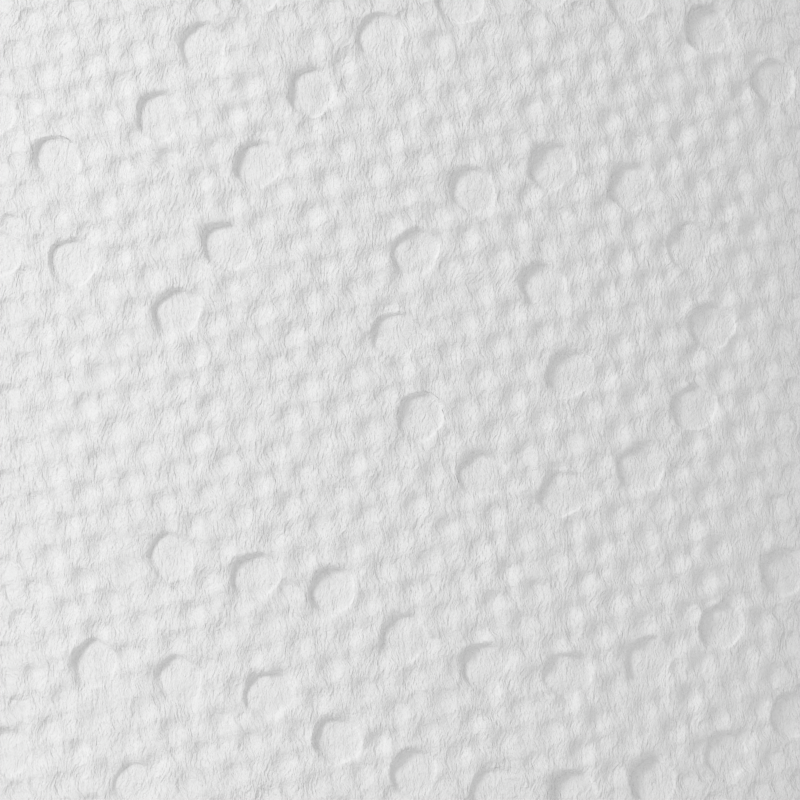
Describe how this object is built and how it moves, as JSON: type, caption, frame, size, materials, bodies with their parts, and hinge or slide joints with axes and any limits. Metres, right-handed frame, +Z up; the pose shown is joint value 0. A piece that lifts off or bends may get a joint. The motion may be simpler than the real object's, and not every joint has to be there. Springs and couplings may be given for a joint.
{
  "type": "paper towel roll",
  "caption": "Roll of embossed two-ply paper towel wound on a board core, standing on its end.",
  "frame": {"origin": "middle of the bottom end, on the core's axis", "axes": "+Z up along the core; the tail, the web's free edge, is on the +X side"},
  "size_m": [0.1267, 0.1263, 0.279],
  "materials": {
    "towel": "matte embossed two-ply tissue",
    "core_board": "spiral-wound unbleached board"
  },
  "bodies": {
    "root": {"towel_web": "towel", "core_tube": "core_board"}
  },
  "joints": []
}
